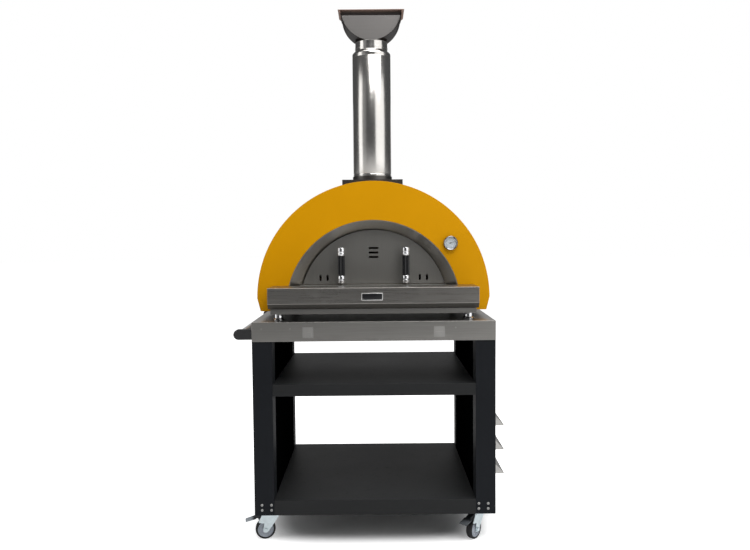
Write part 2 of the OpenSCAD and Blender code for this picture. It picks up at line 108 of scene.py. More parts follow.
class Finish:
    """A procedural material built round one Principled shader."""

    def __init__(self, name, **constants):
        self.material = bpy.data.materials.new(name)
        self.material.use_nodes = True
        self.nodes = self.material.node_tree.nodes
        self.links = self.material.node_tree.links
        self.shader = self.nodes["Principled BSDF"]
        for socket, value in constants.items():
            self.shader.inputs[socket.replace("_", " ")].default_value = value

    def node(self, kind, settings, sockets, out=0):
        """Adds a node of a kind, sets it and its inputs, and gives back one of its outputs."""
        made = self.nodes.new(kind)
        for key, setting in settings.items():
            if key == "stops":
                ramp = made.color_ramp.elements
                while len(ramp) < len(setting):
                    ramp.new(0.5)
                for stop, (place, colour) in zip(ramp, setting):
                    stop.position = place
                    stop.color = colour
            else:
                setattr(made, key, setting)
        for key, value in sockets.items():
            if isinstance(value, Value):
                self.links.new(value.socket, made.inputs[key])
            else:
                made.inputs[key].default_value = value
        return Value(self, made.outputs[out])

    def maths(self, operation, first, second=0.0):
        return self.node("ShaderNodeMath", {"operation": operation}, {0: first, 1: second})

    def place(self, scale=(1, 1, 1)):
        """The piece's own place, in metres, stretched by scale."""
        where = self.node("ShaderNodeTexCoord", {}, {}, 3)
        return self.node("ShaderNodeMapping", {}, {"Vector": where, "Scale": scale})

    def axis(self, letter):
        where = self.node("ShaderNodeTexCoord", {}, {}, 3)
        return self.node("ShaderNodeSeparateXYZ", {}, {0: where}, "XYZ".index(letter))

    def noise(self, scale, detail=3.0, stretch=(1, 1, 1), rough=0.5):
        return self.node("ShaderNodeTexNoise", {}, {"Vector": self.place(stretch), "Scale": scale,
                                                    "Detail": detail, "Roughness": rough})

    def ramp(self, value, low, high):
        """0 below low, 1 above high, smooth between."""
        return self.node("ShaderNodeMapRange", {"interpolation_type": "SMOOTHSTEP"},
                         {"Value": value, "From Min": low, "From Max": high})

    def mix(self, factor, first, second):
        """A colour between two colours or colour links."""
        sides = [side if isinstance(side, Value) else (*side, 1.0) for side in (first, second)]
        return self.node("ShaderNodeMix", {"data_type": "RGBA"}, {0: factor, 6: sides[0], 7: sides[1]}, 2)

    def bump(self, height, strength, distance):
        relief = {"Height": height, "Strength": strength, "Distance": distance}
        normal = self.node("ShaderNodeBump", {}, relief)
        self.links.new(normal.socket, self.shader.inputs["Normal"])

    def surface(self, **links):
        for socket, value in links.items():
            self.links.new(value.socket, self.shader.inputs[socket.replace("_", " ")])
        return self.material


def shade(colour, factor):
    """A colour made lighter or darker."""
    return tuple(channel * factor for channel in colour)


def powder_coat(name, colour, gloss, peel=0.35, outside=0.0):
    """Powder coat; with outside given, faces nearer the cart's middle than that get a deep black painted
    shade.
    """
    finish = Finish(name, Specular_IOR_Level=gloss)
    cloud = finish.noise(3.0, 4.0)
    grain = finish.noise(700.0, 2.0)
    dust = finish.ramp(finish.noise(45.0, 6.0, rough=0.7), 0.56, 0.75)
    tone = finish.mix(cloud, shade(colour, 0.82), shade(colour, 1.25))
    tone = finish.mix(dust * 0.1, tone, shade(colour, 5.0))
    # painted shade: faces inside the side panels are darkened to near black
    if outside:
        across = finish.axis("X")
        outer_faces = finish.ramp((across * across) ** 0.5, outside, outside + 0.004)
        tone = finish.mix(outer_faces, shade(colour, 0.12), tone)
    finish.bump(grain, peel, 0.0006)
    return finish.surface(Base_Color=tone, Roughness=0.42 + cloud * 0.1 + grain * 0.1 + dust * 0.12)


def finished(bm, name, body, material, replaces=(), smooth_angle=32, normals=True):
    """Makes a bmesh into a piece that rides on a CAD body and stands for the CAD nodes it replaces."""
    if normals:
        bmesh.ops.recalc_face_normals(bm, faces=bm.faces)
    mesh = bpy.data.meshes.new(name)
    bm.to_mesh(mesh)
    bm.free()
    mesh.materials.append(material)
    for polygon in mesh.polygons:
        polygon.use_smooth = True
    mesh.set_sharp_from_angle(angle=math.radians(smooth_angle))
    piece = bpy.data.objects.new(name, mesh)
    bpy.context.scene.collection.objects.link(piece)
    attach(piece, body)
    if replaces:
        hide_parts(*replaces)
    return piece


def body_of(node):
    return frame["nodes"][node]["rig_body"]


def eased(node, radius, material, segments=2, sharp=38):
    """Stands for a CAD node: the same shape with its bends and edges rounded, as sheet and castings are."""
    bm = bmesh.new()
    bm.from_mesh(frame["nodes"][node].data)
    bmesh.ops.remove_doubles(bm, verts=bm.verts, dist=0.00001)
    bmesh.ops.dissolve_limit(bm, angle_limit=math.radians(0.6), verts=bm.verts, edges=bm.edges)
    edges = [e for e in bm.edges if e.is_manifold and e.calc_face_angle(0) > math.radians(sharp)]
    bmesh.ops.bevel(bm, geom=edges, offset=radius, offset_type="OFFSET", segments=segments, profile=0.5,
                    affect="EDGES", clamp_overlap=True, material=-1)
    bmesh.ops.triangulate(bm, faces=[f for f in bm.faces if len(f.verts) > 4])
    piece = finished(bm, node + "_eased", body_of(node), material, (node,), normals=False)
    flats = piece.modifiers.new("flat_faces_lead", "WEIGHTED_NORMAL")
    flats.keep_sharp = True
    return piece


inner_face = 0.421
charcoal = powder_coat("charcoal_powder_coat", (0.0085, 0.0095, 0.0115), 0.08)
panel_coat_painted_shade = powder_coat("panel_powder_coat_painted_shade", (0.0085, 0.0095, 0.0115), 0.0, outside=inner_face)
shelf_coat = powder_coat("shelf_powder_coat", (0.0105, 0.011, 0.0115), 0.2, 0.25)
for corner in ("front_left", "front_right", "rear_left", "rear_right"):
    eased(corner + "_leg", 1.6 * millimetre, charcoal)
for side in ("left", "right"):
    eased(side + "_side_panel", 1.6 * millimetre, panel_coat_painted_shade)
for shelf in ("upper_shelf", "lower_shelf"):
    eased(shelf, 1.8 * millimetre, shelf_coat)
eased("top_frame", 1.5 * millimetre, charcoal)


# ---------------------------------------------------------------- Leg bolts
# Button-head bolts with a hexagon socket hold the lower shelf to each leg, two above two, front and back.
# They are bright zinc.

def spun(profile, centre, axis, steps, closed=True):
    """Turns an outline of (radius, height) pairs about an axis through centre."""
    bm = bmesh.new()
    verts = [bm.verts.new((radius, 0, height)) for radius, height in profile]
    pairs = list(zip(verts, verts[1:])) + ([(verts[-1], verts[0])] if closed else [])
    edges = [bm.edges.new(pair) for pair in pairs]
    bmesh.ops.spin(bm, geom=verts + edges, cent=(0, 0, 0), axis=(0, 0, 1), angle=math.tau, steps=steps,
                   use_merge=True, dvec=(0, 0, 0))
    bmesh.ops.remove_doubles(bm, verts=bm.verts, dist=0.000002)
    turn = Vector((0, 0, 1)).rotation_difference(Vector(axis)).to_matrix().to_4x4()
    bmesh.ops.transform(bm, matrix=Matrix.Translation(centre) @ turn, verts=bm.verts)
    return bm


def joined(meshes):
    """Gathers several bmeshes into one."""
    whole = bmesh.new()
    for bm in meshes:
        bmesh.ops.recalc_face_normals(bm, faces=bm.faces)
        part = bpy.data.meshes.new("part")
        bm.to_mesh(part)
        bm.free()
        whole.from_mesh(part)
        bpy.data.meshes.remove(part)
    return whole


def button_head(centre, axis, radius, height):
    """A domed bolt head with a round socket sunk into it."""
    dome = [(radius, 0), (radius, height * 0.25), (radius * 0.92, height * 0.55),
            (radius * 0.75, height * 0.85), (radius * 0.52, height), (radius * 0.4, height),
            (radius * 0.38, height * 0.45), (0, height * 0.35), (0, 0)]
    return spun(dome, centre, axis, 24, closed=False)


def islands(node):
    """Boxes of the separate solids of a CAD node, as (lowest, highest) corners."""
    bm = bmesh.new()
    bm.from_mesh(frame["nodes"][node].data)
    bmesh.ops.remove_doubles(bm, verts=bm.verts, dist=0.00001)
    left = set(bm.verts)
    found = []
    while left:
        queue = [left.pop()]
        group = []
        while queue:
            vert = queue.pop()
            group.append(vert.co.copy())
            for edge in vert.link_edges:
                other = edge.other_vert(vert)
                if other in left:
                    left.remove(other)
                    queue.append(other)
        found.append((Vector([min(c[i] for c in group) for i in range(3)]),
                      Vector([max(c[i] for c in group) for i in range(3)])))
    bm.free()
    return found


def zinc(name, colour=(0.72, 0.8, 0.83), roughness=0.34):
    finish = Finish(name, Metallic=0.85)
    spangle = finish.node("ShaderNodeTexVoronoi", {}, {"Vector": finish.place(), "Scale": 160.0})
    cloud = finish.noise(60.0, 4.0)
    tone = finish.mix(cloud, shade(colour, 0.78), shade(colour, 1.15))
    finish.bump(finish.noise(420.0, 3.0), 0.12, 0.0004)
    return finish.surface(Base_Color=tone, Roughness=roughness + spangle * 0.12 + cloud * 0.1)


bright_zinc = zinc("bright_zinc")
bolt_zinc = zinc("bolt_zinc", (0.36, 0.36, 0.35), 0.34)
bolts = []
for low, high in islands("leg_bolts"):
    middle = (low + high) / 2
    outward = -1 if middle.y < 0 else 1
    seat = Vector((middle.x, high.y if outward < 0 else low.y, middle.z))
    bolts.append(button_head(seat, (0, outward, 0), (high.x - low.x) / 2, high.y - low.y))
finished(joined(bolts), "button_head_bolts", "root", bolt_zinc, ("leg_bolts",), normals=False)


# ---------------------------------------------------------------- Worktop
# The worktop is one sheet of stainless steel folded down into a deep apron, brushed along its length.
# Its corners are welded and ground, and the apron shows a faint joint near each leg.

def brushed_finish(name, colour, along="X", roughness=0.3, streak=0.14, cloud_tone=0.12, bump=0.08):
    """Stainless steel with a fine grain along one axis, faint clouds and handling marks."""
    finish = Finish(name, Metallic=1.0)
    stretch = tuple(0.012 if letter == along else 1.0 for letter in "XYZ")
    fine = finish.noise(900.0, 2.0, stretch, 0.6)
    broad = finish.noise(160.0, 3.0, stretch, 0.55)
    cloud = finish.noise(2.6, 4.0)
    marks = finish.ramp(finish.noise(16.0, 5.0, rough=0.65), 0.52, 0.78)
    grain = fine * 0.6 + broad * 0.4
    tone = finish.mix(grain, shade(colour, 1 - streak), shade(colour, 1 + streak))
    tone = finish.mix(cloud * (cloud_tone * 2), tone, shade(colour, 0.6))
    finish.bump(grain, bump, 0.0005)
    finish.surface(Base_Color=tone, Roughness=roughness + grain * 0.12 + marks * 0.06 + cloud * 0.05)
    return finish


def brushed(name, colour, *grain):
    return brushed_finish(name, colour, *grain).material


brushed_steel = brushed("brushed_steel", (0.34, 0.33, 0.312), "X", 0.24, 0.3, 0.16, 0.2)
eased("counter", 1.7 * millimetre, brushed_steel)


# ---------------------------------------------------------------- Apron plates and screws
# Two square plates with a turned-out lip sit on the apron, each held by two small screws; single screws
# beside them hold the apron to the frame behind.

plate_steel = brushed("plate_steel", (0.42, 0.41, 0.395), "Z", 0.3)
eased("apron_plates", 0.5 * millimetre, plate_steel)


# ---------------------------------------------------------------- Push handle
# A round stainless bar along the left side, held in a black moulded bracket at each end. The cart is pushed
# and pulled by it.

def moulded(name, colour, roughness=0.45, grain_scale=1400.0, grain=0.25):
    finish = Finish(name, Specular_IOR_Level=0.4)
    cloud = finish.noise(40.0, 3.0)
    texture = finish.noise(grain_scale, 2.0)
    finish.bump(texture, grain, 0.0003)
    tone = finish.mix(cloud, shade(colour, 0.8), shade(colour, 1.3))
    return finish.surface(Base_Color=tone, Roughness=roughness + cloud * 0.12 + texture * 0.08)


polished_bar = brushed("polished_bar", (0.62, 0.61, 0.6), "Y", 0.2, 0.06)
black_moulding = moulded("black_moulding", (0.012, 0.012, 0.013))
bar_low, bar_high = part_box("push_handle_bar")
bar_radius = (bar_high.z - bar_low.z) / 2
bar_length = bar_high.y - bar_low.y
bar = spun([(0, 0), (bar_radius, 0), (bar_radius, bar_length), (0, bar_length)],
           (bar_low.x + bar_radius, bar_low.y, bar_low.z + bar_radius), (0, 1, 0), 48, closed=False)
finished(bar, "push_bar", "root", polished_bar, ("push_handle_bar",))
eased("push_handle_brackets", 2.5 * millimetre, black_moulding, 3)


# ---------------------------------------------------------------- Side racks
# Three racks of folded stainless sheet stand off the right side panel, with a sloping front and a small
# hole in each cheek.

rack_steel = brushed("rack_steel", (0.55, 0.54, 0.52), "Y", 0.36)
eased("side_racks", 0.8 * millimetre, rack_steel)


# ---------------------------------------------------------------- Casters
# Four zinc-plated swivel casters with grey hubs and black rubber tyres carry the cart. The front pair has
# a brake pedal over the wheel, moulded in black with fine ribs and paler at its tip.

def rubber(name):
    finish = Finish(name, Specular_IOR_Level=0.3)
    dust = finish.ramp(finish.noise(120.0, 5.0, rough=0.7), 0.45, 0.8)
    finish.bump(finish.noise(600.0, 3.0), 0.3, 0.0004)
    tone = finish.mix(dust * 0.5, (0.008, 0.008, 0.009), (0.06, 0.058, 0.055))
    return finish.surface(Base_Color=tone, Roughness=0.55 + dust * 0.25)


tyre_rubber = rubber("tyre_rubber")
grey_hub = moulded("grey_hub_moulding", (0.33, 0.355, 0.4), 0.4, 900.0, 0.15)
tread_steps = 72
tyre_depth = 9 * millimetre
for corner in ("front_left", "front_right", "rear_left", "rear_right"):
    spin = next(j for j in frame["joints"] if j["name"] == corner + "_wheel_spin")
    centre = Vector(spin["pos_m"])
    axle = Vector(spin["axis"])
    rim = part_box(corner + "_caster_tyre")
    radius = centre.z - rim[0].z
    half = 0.013
    hub = radius - tyre_depth
    tyre = [(hub, -half), (radius - 0.0045, -half), (radius - 0.0022, -half + 0.0009),
            (radius - 0.0008, -half + 0.003), (radius, -half + 0.0068), (radius, -0.0022),
            (radius - 0.0012, -0.0012), (radius - 0.0012, 0.0012), (radius, 0.0022),
            (radius, half - 0.0068), (radius - 0.0008, half - 0.003), (radius - 0.0022, half - 0.0009),
            (radius - 0.0045, half), (hub, half)]
    finished(spun(tyre, centre, axle, tread_steps), corner + "_tyre", body_of(corner + "_caster_tyre"),
             tyre_rubber, (corner + "_caster_tyre",))
    face = half - 0.001
    disc = [(0.0051, face + 0.0013), (0.0125, face + 0.0013), (0.0135, face - 0.001), (0.0165, face - 0.0035),
            (0.021, face - 0.0035), (0.0225, face - 0.0015), (0.0245, face - 0.0015), (0.026, face - 0.0035),
            (hub - 0.004, face - 0.003), (hub - 0.002, face), (hub, face)]
    wheel = disc + [(r, -z) for r, z in reversed(disc)]
    finished(spun(wheel, centre, axle, tread_steps), corner + "_hub", body_of(corner + "_caster_wheel"),
             grey_hub, (corner + "_caster_wheel",))
    eased(corner + "_caster_fork", 0.9 * millimetre, bright_zinc)
    eased(corner + "_caster_plate", 0.8 * millimetre, bright_zinc)
    eased(corner + "_caster_axle", 0.5 * millimetre, bright_zinc)


def pedal_finish(corner, tip_paleness):
    """Black moulding, paler towards the tip by a share given for each pedal."""
    swivel = next(j for j in frame["joints"] if j["name"] == corner + "_swivel_turn")["pos_m"]
    finish = Finish(corner + "_pedal_moulding", Specular_IOR_Level=0.4)
    dx, dy = finish.axis("X") - swivel[0], finish.axis("Y") - swivel[1]
    reach = (dx * dx + dy * dy) ** 0.5
    mottle = finish.noise(160.0, 5.0, rough=0.7)
    # the tip is made paler grey, by a different share on each pedal
    tip = finish.ramp(reach + mottle * 0.012, 0.086, 0.1) * tip_paleness
    ribs = finish.maths("SINE", reach * 1600.0)
    finish.bump(ribs, 0.5, 0.0008)
    tone = finish.mix(tip, (0.012, 0.014, 0.017), (0.42, 0.46, 0.49))
    return finish.surface(Base_Color=tone, Roughness=0.34 + mottle * 0.15)


for corner, tip_paleness in (("front_left", 0.9), ("front_right", 0.15)):
    eased(corner + "_brake_pedal", 0.9 * millimetre, pedal_finish(corner, tip_paleness))


# ---------------------------------------------------------------- Feet, base pan and skirt
# The oven stands on four polished screw-in feet under a folded steel pan. A skirt carries the pan's line
# forward under the landing shelf.

def chromed(name, colour=(0.72, 0.72, 0.73)):
    finish = Finish(name, Metallic=1.0)
    smear = finish.noise(90.0, 4.0)
    finish.bump(finish.noise(300.0, 2.0), 0.03, 0.0003)
    tone = finish.mix(smear, shade(colour, 0.9), shade(colour, 1.08))
    return finish.surface(Base_Color=tone, Roughness=0.07 + smear * 0.1)


chrome = chromed("polished_chrome")
foot_meshes = []
for low, high in islands("oven_feet"):
    r = (high.x - low.x) / 2
    h = high.z - low.z
    outline = [(0, 0), (r - 0.001, 0), (r, 0.001), (r, 0.003), (r - 0.004, 0.0048), (r - 0.0055, 0.0065),
               (r - 0.0055, h - 0.002), (r - 0.0065, h), (0, h)]
    stand = ((low.x + high.x) / 2, (low.y + high.y) / 2, low.z)
    foot_meshes.append(spun(outline, stand, (0, 0, 1), 48, False))
finished(joined(foot_meshes), "screw_feet", "root", chrome, ("oven_feet",), normals=False)
dark_band = brushed("dark_band_steel", (0.2, 0.195, 0.185), "X", 0.32)
eased("base_pan", 1.2 * millimetre, dark_band)


# ---------------------------------------------------------------- Landing shelf and nameplate
# A folded stainless shelf stands in front of the mouth, with a tall front, a sloping foot and tight bends.
# Its nameplate is blank: black enamel in a thin bright frame.

def painted_shade_below(steel, height, share):
    """Darkens a brushed steel under a height with painted shade, where the bend turns it down away from the
    light.
    """
    colour = steel.shader.inputs["Base Color"].links[0].from_socket
    tone = Value(steel, colour)
    # painted shade: the steel below the fold is darkened
    low = 1.0 - steel.ramp(steel.axis("Z"), height - 0.002, height + 0.001)
    steel.surface(Base_Color=steel.mix(low * share, tone, (0.02, 0.019, 0.017)))
    return steel.material


shelf_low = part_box("landing_shelf")[0]
fold_z = shelf_low.z + 0.0215
shelf_finish = brushed_finish("shelf_steel_painted_shade", (0.33, 0.315, 0.295), "X", 0.2, 0.42, 0.2, 0.25)
# the shelf's sloping foot gets painted shade below the fold
shelf_steel_painted_shade = painted_shade_below(shelf_finish, fold_z, 0.85)
eased("landing_shelf", 1.8 * millimetre, shelf_steel_painted_shade, 3)

plate_enamel = moulded("plate_enamel", (0.006, 0.006, 0.007), 0.22, 300.0, 0.05)
plate_low, plate_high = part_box("nameplate")
border = 0.003
frame_steel = brushed("nameplate_frame_steel", (0.85, 0.84, 0.82), "X", 0.3)


def slab_mesh(low, high, radius):
    """A block between two corners with rounded edges."""
    bm = bmesh.new()
    bmesh.ops.create_cube(bm, size=1.0)
    size = Vector(high) - Vector(low)
    bmesh.ops.scale(bm, vec=size, verts=bm.verts)
    bmesh.ops.translate(bm, vec=(Vector(low) + Vector(high)) / 2, verts=bm.verts)
    bmesh.ops.bevel(bm, geom=bm.edges[:], offset=radius, offset_type="OFFSET", segments=2, profile=0.5,
                    affect="EDGES", clamp_overlap=True, material=-1)
    return bm


plate_face = slab_mesh((plate_low.x + border, plate_low.y + 0.0006, plate_low.z + border),
                       (plate_high.x - border, plate_high.y, plate_high.z - border), 0.0003)
finished(plate_face, "nameplate_face", "root", plate_enamel, ("nameplate",))
frame_bars = []
for edge in (0, 1):
    z0 = plate_low.z if edge == 0 else plate_high.z - border
    x0 = plate_low.x if edge == 0 else plate_high.x - border
    lying = ((plate_low.x, plate_low.y, z0), (plate_high.x, plate_high.y, z0 + border))
    upright = ((x0, plate_low.y, plate_low.z), (x0 + border, plate_high.y, plate_high.z))
    for ends in (lying, upright):
        frame_bars.append(slab_mesh(*ends, 0.5 * millimetre))
finished(joined(frame_bars), "nameplate_frame", "root", frame_steel, normals=False)


# ---------------------------------------------------------------- Hearth, chamber and insulation
# Refractory tiles lie on an insulating board, under a cast refractory vault wrapped in ceramic fibre. The
# tiles are sand coloured, pitted and toasted; the vault is sooted towards its crown.

def firebrick(name, soot=False):
    finish = Finish(name, Specular_IOR_Level=0.2)
    grain = finish.noise(420.0, 6.0, rough=0.7)
    cloud = finish.noise(14.0, 4.0)
    specks = finish.ramp(finish.noise(900.0, 2.0), 0.6, 0.7)
    tone = finish.mix(cloud, (0.52, 0.4, 0.27), (0.68, 0.56, 0.41))
    tone = finish.mix(specks * 0.5, tone, (0.2, 0.13, 0.09))
    if soot:
        height = finish.ramp(finish.axis("Z") + cloud * 0.12, 1.12, 1.34)
        tone = finish.mix(height * 0.85, tone, (0.03, 0.026, 0.022))
    finish.bump(grain, 0.5, 0.0012)
    return finish.surface(Base_Color=tone, Roughness=0.85 + grain * 0.1)


def fibre(name):
    finish = Finish(name, Specular_IOR_Level=0.1)
    wool = finish.noise(220.0, 8.0, (1, 3, 1), 0.75)
    tone = finish.mix(wool, (0.62, 0.6, 0.55), (0.86, 0.84, 0.8))
    finish.bump(wool, 0.6, 0.002)
    return finish.surface(Base_Color=tone, Roughness=0.9 + wool * 0.08)


eased("hearth_stones", 1.5 * millimetre, firebrick("hearth_tile"))
eased("refractory_vault", 3 * millimetre, firebrick("vault_refractory", soot=True))
ceramic_wool = fibre("ceramic_fibre_wool")
for board in ("base_insulation", "insulation_blanket"):
    eased(board, 1.5 * millimetre, ceramic_wool)


# ---------------------------------------------------------------- Yellow body
# The vault, the front plate and the back panel are steel sheet in a warm yellow satin enamel. The front
# plate's edge is rolled, and catches a thin line of light.

def enamel(name, colour):
    finish = Finish(name, Specular_IOR_Level=0.08, Coat_Roughness=0.25)
    cloud = finish.noise(4.0, 4.0)
    peel = finish.noise(260.0, 2.0)
    fine = finish.noise(1500.0, 2.0)
    tone = finish.mix(cloud, shade(colour, 0.93), shade(colour, 1.06))
    tone = finish.mix(fine * 0.12, tone, shade(colour, 0.7))
    finish.bump(peel * 0.7 + fine * 0.3, 0.1, 0.0006)
    rough = 0.34 + cloud * 0.08 + peel * 0.06
    return finish.surface(Base_Color=tone, Roughness=rough, Coat_Weight=0.01 + cloud * 0.02)


yellow = enamel("yellow_enamel", (0.5, 0.228, 0.0002))
eased("outer_shell", 0.9 * millimetre, yellow)
eased("front_plate", 1.3 * millimetre, yellow, 3)
eased("back_panel", 1.3 * millimetre, yellow, 3)


# ---------------------------------------------------------------- Mouth throat
# A tapered arch of thin stainless sheet lines the opening from the front plate in to the door, spun
# smooth and a little heat-tinted at its inner end.

def throat_steel(name):
    finish = Finish(name, Metallic=1.0)
    depth = finish.ramp(finish.axis("Y"), -0.25, -0.175)
    cloud = finish.noise(9.0, 5.0)
    grain = finish.noise(700.0, 2.0, (1, 0.03, 1))
    tone = finish.mix(grain, (0.5, 0.49, 0.47), (0.66, 0.65, 0.63))
    tone = finish.mix(depth * cloud * 0.7, tone, (0.34, 0.27, 0.18))
    finish.bump(grain, 0.06, 0.0005)
    return finish.surface(Base_Color=tone, Roughness=0.26 + cloud * 0.14)


eased("mouth_throat", 0.3 * millimetre, throat_steel("mouth_throat_steel"), sharp=50)


# ---------------------------------------------------------------- Door and handles
# The door is a skin of dark satin stainless over an insulated pan, cut by three short slots and two pairs
# of vents. Each handle is a black gloss grip between chrome ferrules on short posts.

door_steel = brushed("door_steel", (0.18, 0.176, 0.165), "Z", 0.42, 0.14, 0.1)
eased("door_panel", 0.8 * millimetre, door_steel)


def gloss_black(name):
    finish = Finish(name, Specular_IOR_Level=0.3, Coat_Roughness=0.06)
    smear = finish.noise(130.0, 4.0)
    tone = finish.mix(smear, (0.0015, 0.0015, 0.002), (0.004, 0.004, 0.005))
    finish.bump(finish.noise(500.0, 2.0), 0.03, 0.0003)
    return finish.surface(Base_Color=tone, Roughness=0.14 + smear * 0.12, Coat_Weight=0.1 + smear * 0.1)


grip_black = gloss_black("grip_black")


def fluted(centre, radius, height, flutes, depth):
    """An upright grip with shallow flutes all round."""
    bm = bmesh.new()
    ring = bmesh.ops.create_circle(bm, cap_ends=True, radius=radius, segments=flutes * 6)
    for vert in ring["verts"]:
        turn = math.atan2(vert.co.y, vert.co.x)
        vert.co *= 1 - depth / radius * (0.5 + 0.5 * math.cos(turn * flutes))
    raised = bmesh.ops.extrude_face_region(bm, geom=bm.faces[:])
    top = [part for part in raised["geom"] if isinstance(part, bmesh.types.BMVert)]
    bmesh.ops.translate(bm, vec=(0, 0, height), verts=top)
    bmesh.ops.translate(bm, vec=centre, verts=bm.verts)
    return bm


grips = []
for low, high in islands("door_grips"):
    grips.append(fluted(((low.x + high.x) / 2, (low.y + high.y) / 2, low.z), (high.x - low.x) / 2,
                        high.z - low.z, 20, 0.0012))
finished(joined(grips), "handle_grips", "door", grip_black, ("door_grips",), normals=False)

ferrules = []
door_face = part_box("door_panel")[0].y
for low, high in islands("handle_mounts"):
    r = (high.x - low.x) / 2
    h = high.z - low.z
    x = (low.x + high.x) / 2
    y = low.y + r
    outline = [(0, 0), (r - 0.0025, 0), (r - 0.0008, 0.0008), (r, 0.0025), (r, h * 0.42),
               (r - 0.0012, h * 0.46), (r - 0.0012, h * 0.54), (r, h * 0.58), (r, h - 0.0025),
               (r - 0.0008, h - 0.0008), (r - 0.0025, h), (0, h)]
    ferrules.append(spun(outline, (x, y, low.z), (0, 0, 1), 64, False))
    reach = door_face - y
    post = [(0, 0), (0.009, 0), (0.009, reach * 0.72), (0.0095, reach * 0.8), (0.0125, reach - 0.0015),
            (0.013, reach), (0, reach)]
    ferrules.append(spun(post, (x, y, (low.z + high.z) / 2), (0, 1, 0), 48, False))
finished(joined(ferrules), "handle_ferrules", "door", chrome, ("handle_mounts",),
         normals=False)

screw_dark = moulded("screw_socket_black", (0.004, 0.004, 0.004), 0.5)
set_screw = [(0, 0), (0.0032, 0), (0.0032, 0.0034), (0.0024, 0.0037), (0.0022, 0.0024), (0, 0.002)]
sockets = []
for low, high in islands("handle_mounts"):
    if low.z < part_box("door_grips")[0].z:
        for turn in (-35, 35):
            angle = math.radians(turn)
            outward = Vector((math.sin(angle), -math.cos(angle), 0))
            seat = Vector(((low.x + high.x) / 2, low.y + (high.x - low.x) / 2, low.z + 0.015))
            seat += outward * ((high.x - low.x) / 2 - 0.0035)
            sockets.append(spun(set_screw, seat, outward, 24, False))
finished(joined(sockets), "ferrule_set_screws", "door", screw_dark, normals=False)


# ---------------------------------------------------------------- Thermometer
# A small dial thermometer sits in the front plate: a steel case with a rolled bezel, a pale dial with
# plain ticks, a needle on a spindle, and a glass lens.

case_low, case_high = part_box("thermometer_case")
gauge_x = (case_low.x + case_high.x) / 2
gauge_z = (case_low.z + case_high.z) / 2
bezel_steel = chromed("bezel_steel", (0.3, 0.3, 0.31))
eased("thermometer_case", 0.6 * millimetre, bezel_steel, 3)


def dial_paint(name, colour):
    finish = Finish(name, Specular_IOR_Level=0.3)
    cloud = finish.noise(120.0, 3.0)
    tone = finish.mix(cloud, shade(colour, 0.94), shade(colour, 1.03))
    return finish.surface(Base_Color=tone, Roughness=0.45 + cloud * 0.1)


eased("thermometer_dial", 0.2 * millimetre, dial_paint("dial_white", (0.36, 0.4, 0.43)))
dial_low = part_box("thermometer_dial")[0]
ticks = []
first_tick, tick_step = -135, 10
for number in range(28):
    turn = math.radians(first_tick + number * tick_step)
    long_tick = number % 3 == 0
    inner = 0.0165 if long_tick else 0.0185
    half = 0.0004 if long_tick else 0.00025
    tick = slab_mesh((-half, -0.0003, inner), (half, 0.0002, 0.0215), 0.0001)
    on_dial = Matrix.Translation((gauge_x, dial_low.y, gauge_z)) @ Matrix.Rotation(turn, 4, "Y")
    bmesh.ops.transform(tick, matrix=on_dial, verts=tick.verts)
    ticks.append(tick)
finished(joined(ticks), "dial_ticks", "root", dial_paint("tick_black", (0.01, 0.01, 0.01)),
         normals=False)
eased("thermometer_needle", 0.15 * millimetre, dial_paint("needle_black", (0.012, 0.01, 0.01)))


def lens_glass(name):
    finish = Finish(name, Specular_IOR_Level=0.5)
    smear = finish.noise(90.0, 3.0)
    tone = finish.mix(smear, (0.8, 0.84, 0.86), (0.86, 0.9, 0.92))
    return finish.surface(Base_Color=tone, Roughness=0.03 + smear * 0.05, Alpha=0.1 + smear * 0.05)


eased("thermometer_lens", 0.4 * millimetre, lens_glass("lens_glass"))


# ---------------------------------------------------------------- Flue
# A double-wall polished stainless pipe stands on a folded collar, with a rolled ring at its foot and a
# shoulder at its top. The cap is a half-round trough with a flat roof and a plate in each end, darkened
# by smoke above its polished neck.

def rolled_steel(name, colour, roughness):
    """Polished tube: fine rings left round it by the rollers and a light bloom."""
    finish = Finish(name, Metallic=1.0)
    rings = finish.noise(500.0, 2.0, (0.03, 0.03, 1))
    cloud = finish.noise(6.0, 4.0, (1, 1, 0.3))
    tone = finish.mix(rings, shade(colour, 0.93), shade(colour, 1.05))
    tone = finish.mix(cloud * 0.25, tone, shade(colour, 0.72))
    finish.bump(rings, 0.04, 0.0005)
    return finish.surface(Base_Color=tone, Roughness=roughness + rings * 0.05 + cloud * 0.08)


pipe_steel = rolled_steel("pipe_steel", (0.66, 0.64, 0.61), 0.15)
pipe_low, pipe_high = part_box("flue_pipe")
collar_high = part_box("flue_collar")[1]
pipe_r = (pipe_high.x - pipe_low.x) / 2
pipe_x = (pipe_high.x + pipe_low.x) / 2
pipe_y = (pipe_high.y + pipe_low.y) / 2
duct_r = 0.0603
duct_outer = 0.0618
foot_z = collar_high.z - 0.018
shoulder_z = pipe_high.z - 0.012
seam = 0.0009
pipe_outline = [(duct_outer, pipe_low.z), (duct_outer, foot_z), (pipe_r - 0.001, foot_z),
                (pipe_r - 0.001, foot_z + 0.02), (pipe_r, foot_z + 0.0215), (pipe_r, foot_z + 0.026),
                (pipe_r - seam, foot_z + 0.0275), (pipe_r - seam, foot_z + 0.0295),
                (pipe_r, foot_z + 0.031), (pipe_r, shoulder_z - 0.02), (pipe_r - seam, shoulder_z - 0.0185),
                (pipe_r - seam, shoulder_z - 0.0165), (pipe_r, shoulder_z - 0.015),
                (pipe_r, shoulder_z - 0.003), (pipe_r - 0.0012, shoulder_z),
                (pipe_r - 0.005, shoulder_z + 0.004), (pipe_r - 0.0115, shoulder_z + 0.009),
                (pipe_r - 0.013, pipe_high.z), (duct_r, pipe_high.z), (duct_r, pipe_low.z)]
pipe = spun(pipe_outline, (pipe_x, pipe_y, 0), (0, 0, 1), 128)
